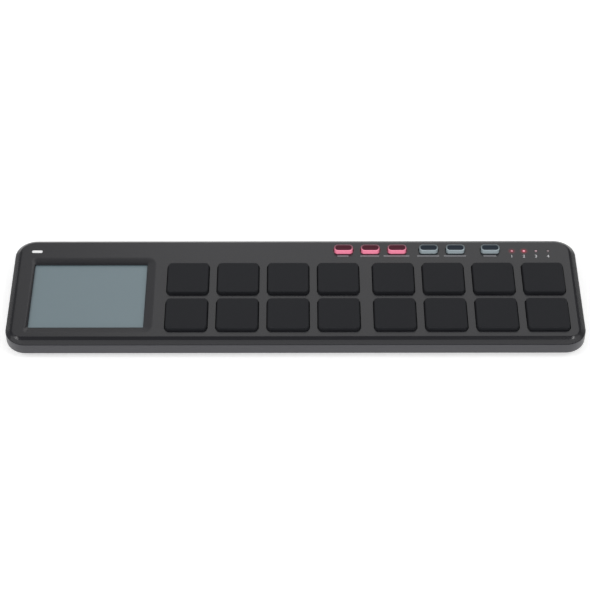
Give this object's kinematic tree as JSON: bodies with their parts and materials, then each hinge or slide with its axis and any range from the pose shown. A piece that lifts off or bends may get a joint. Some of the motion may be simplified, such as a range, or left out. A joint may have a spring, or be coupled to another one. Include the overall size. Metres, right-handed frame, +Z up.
{
  "type": "midi pad controller",
  "caption": "Flat desktop controller with a grid of square pressure pads, a recessed touch surface, lit push buttons, indicator lights and a rear cable port.",
  "frame": {"origin": "on the ground under the middle of the case", "axes": "+X to the player's right along the long side, +Y to the back with the cable port, +Z up"},
  "size_m": [0.325, 0.0826, 0.0158],
  "materials": {
    "panel_plastic": "fine satin texture, dark grey",
    "wall_plastic": "fine satin texture, dark grey",
    "pad_rubber": "matte silicone, charcoal",
    "mat_rubber": "matte silicone, grey",
    "foot_rubber": "matte rubber, black",
    "touch_film": "matte hard-coated film, cool grey",
    "lens_pink": "translucent, lit pink",
    "lens_grey": "translucent, unlit",
    "cap_rose": "satin, dark rose",
    "cap_dark": "satin, dark slate",
    "print_ink": "pale grey screen print on the panel",
    "light_pipe": "clear moulded light guide",
    "power_lens": "translucent white, lit",
    "led_resin": "cast resin",
    "board_laminate": "green solder mask",
    "ribbon_polyimide": "amber film",
    "connector_nylon": "cream nylon",
    "chip_plastic": "black moulded epoxy",
    "backing_aluminium": "bare sheet",
    "screw_steel": "zinc plated",
    "socket_steel": "tin plated"
  },
  "bodies": {
    "case": {"top_cover": "panel_plastic", "bottom_cover": "wall_plastic", "rubber_feet": "foot_rubber", "case_screws": "screw_steel", "board_screws": "screw_steel", "touch_film": "touch_film", "touch_sensor_board": "board_laminate", "touch_backing_plate": "backing_aluminium", "touch_ribbon": "ribbon_polyimide", "ribbon_connector": "connector_nylon", "main_board": "board_laminate", "pad_sensor_film": "ribbon_polyimide", "pad_mat": "mat_rubber", "button_mat": "mat_rubber", "button_leds": "led_resin", "channel_leds": "led_resin", "channel_lights": "light_pipe", "power_led": "led_resin", "power_lens": "power_lens", "usb_socket_shell": "socket_steel", "usb_socket_insert": "chip_plastic", "controller_chip": "chip_plastic", "crystal": "socket_steel"},
    "pad_1": {"pad_1": "pad_rubber"},
    "pad_2": {"pad_2": "pad_rubber"},
    "pad_3": {"pad_3": "pad_rubber"},
    "pad_4": {"pad_4": "pad_rubber"},
    "pad_5": {"pad_5": "pad_rubber"},
    "pad_6": {"pad_6": "pad_rubber"},
    "pad_7": {"pad_7": "pad_rubber"},
    "pad_8": {"pad_8": "pad_rubber"},
    "pad_9": {"pad_9": "pad_rubber"},
    "pad_10": {"pad_10": "pad_rubber"},
    "pad_11": {"pad_11": "pad_rubber"},
    "pad_12": {"pad_12": "pad_rubber"},
    "pad_13": {"pad_13": "pad_rubber"},
    "pad_14": {"pad_14": "pad_rubber"},
    "pad_15": {"pad_15": "pad_rubber"},
    "pad_16": {"pad_16": "pad_rubber"},
    "button_1": {"button_lens_1": "lens_pink", "button_cap_1": "cap_rose"},
    "button_2": {"button_lens_2": "lens_pink", "button_cap_2": "cap_rose"},
    "button_3": {"button_lens_3": "lens_pink", "button_cap_3": "cap_rose"},
    "button_4": {"button_lens_4": "lens_grey", "button_cap_4": "cap_dark"},
    "button_5": {"button_lens_5": "lens_grey", "button_cap_5": "cap_dark"},
    "button_6": {"button_lens_6": "lens_grey", "button_cap_6": "cap_dark"}
  },
  "joints": [
    {"name": "pad_1_press", "type": "slide", "parent": "case", "child": "pad_1", "axis": [0, 0, -1], "range_m": [0, 0.001], "stiffness_N_per_m": 1500, "springref_m": -0.0003, "deforming": ["pad_mat"]},
    {"name": "pad_2_press", "type": "slide", "parent": "case", "child": "pad_2", "axis": [0, 0, -1], "range_m": [0, 0.001], "stiffness_N_per_m": 1500, "springref_m": -0.0003, "deforming": ["pad_mat"]},
    {"name": "pad_3_press", "type": "slide", "parent": "case", "child": "pad_3", "axis": [0, 0, -1], "range_m": [0, 0.001], "stiffness_N_per_m": 1500, "springref_m": -0.0003, "deforming": ["pad_mat"]},
    {"name": "pad_4_press", "type": "slide", "parent": "case", "child": "pad_4", "axis": [0, 0, -1], "range_m": [0, 0.001], "stiffness_N_per_m": 1500, "springref_m": -0.0003, "deforming": ["pad_mat"]},
    {"name": "pad_5_press", "type": "slide", "parent": "case", "child": "pad_5", "axis": [0, 0, -1], "range_m": [0, 0.001], "stiffness_N_per_m": 1500, "springref_m": -0.0003, "deforming": ["pad_mat"]},
    {"name": "pad_6_press", "type": "slide", "parent": "case", "child": "pad_6", "axis": [0, 0, -1], "range_m": [0, 0.001], "stiffness_N_per_m": 1500, "springref_m": -0.0003, "deforming": ["pad_mat"]},
    {"name": "pad_7_press", "type": "slide", "parent": "case", "child": "pad_7", "axis": [0, 0, -1], "range_m": [0, 0.001], "stiffness_N_per_m": 1500, "springref_m": -0.0003, "deforming": ["pad_mat"]},
    {"name": "pad_8_press", "type": "slide", "parent": "case", "child": "pad_8", "axis": [0, 0, -1], "range_m": [0, 0.001], "stiffness_N_per_m": 1500, "springref_m": -0.0003, "deforming": ["pad_mat"]},
    {"name": "pad_9_press", "type": "slide", "parent": "case", "child": "pad_9", "axis": [0, 0, -1], "range_m": [0, 0.001], "stiffness_N_per_m": 1500, "springref_m": -0.0003, "deforming": ["pad_mat"]},
    {"name": "pad_10_press", "type": "slide", "parent": "case", "child": "pad_10", "axis": [0, 0, -1], "range_m": [0, 0.001], "stiffness_N_per_m": 1500, "springref_m": -0.0003, "deforming": ["pad_mat"]},
    {"name": "pad_11_press", "type": "slide", "parent": "case", "child": "pad_11", "axis": [0, 0, -1], "range_m": [0, 0.001], "stiffness_N_per_m": 1500, "springref_m": -0.0003, "deforming": ["pad_mat"]},
    {"name": "pad_12_press", "type": "slide", "parent": "case", "child": "pad_12", "axis": [0, 0, -1], "range_m": [0, 0.001], "stiffness_N_per_m": 1500, "springref_m": -0.0003, "deforming": ["pad_mat"]},
    {"name": "pad_13_press", "type": "slide", "parent": "case", "child": "pad_13", "axis": [0, 0, -1], "range_m": [0, 0.001], "stiffness_N_per_m": 1500, "springref_m": -0.0003, "deforming": ["pad_mat"]},
    {"name": "pad_14_press", "type": "slide", "parent": "case", "child": "pad_14", "axis": [0, 0, -1], "range_m": [0, 0.001], "stiffness_N_per_m": 1500, "springref_m": -0.0003, "deforming": ["pad_mat"]},
    {"name": "pad_15_press", "type": "slide", "parent": "case", "child": "pad_15", "axis": [0, 0, -1], "range_m": [0, 0.001], "stiffness_N_per_m": 1500, "springref_m": -0.0003, "deforming": ["pad_mat"]},
    {"name": "pad_16_press", "type": "slide", "parent": "case", "child": "pad_16", "axis": [0, 0, -1], "range_m": [0, 0.001], "stiffness_N_per_m": 1500, "springref_m": -0.0003, "deforming": ["pad_mat"]},
    {"name": "button_1_press", "type": "slide", "parent": "case", "child": "button_1", "axis": [0, 0, -1], "range_m": [0, 0.0008], "stiffness_N_per_m": 800, "springref_m": -0.0003, "deforming": ["button_mat"]},
    {"name": "button_2_press", "type": "slide", "parent": "case", "child": "button_2", "axis": [0, 0, -1], "range_m": [0, 0.0008], "stiffness_N_per_m": 800, "springref_m": -0.0003, "deforming": ["button_mat"]},
    {"name": "button_3_press", "type": "slide", "parent": "case", "child": "button_3", "axis": [0, 0, -1], "range_m": [0, 0.0008], "stiffness_N_per_m": 800, "springref_m": -0.0003, "deforming": ["button_mat"]},
    {"name": "button_4_press", "type": "slide", "parent": "case", "child": "button_4", "axis": [0, 0, -1], "range_m": [0, 0.0008], "stiffness_N_per_m": 800, "springref_m": -0.0003, "deforming": ["button_mat"]},
    {"name": "button_5_press", "type": "slide", "parent": "case", "child": "button_5", "axis": [0, 0, -1], "range_m": [0, 0.0008], "stiffness_N_per_m": 800, "springref_m": -0.0003, "deforming": ["button_mat"]},
    {"name": "button_6_press", "type": "slide", "parent": "case", "child": "button_6", "axis": [0, 0, -1], "range_m": [0, 0.0008], "stiffness_N_per_m": 800, "springref_m": -0.0003, "deforming": ["button_mat"]}
  ]
}
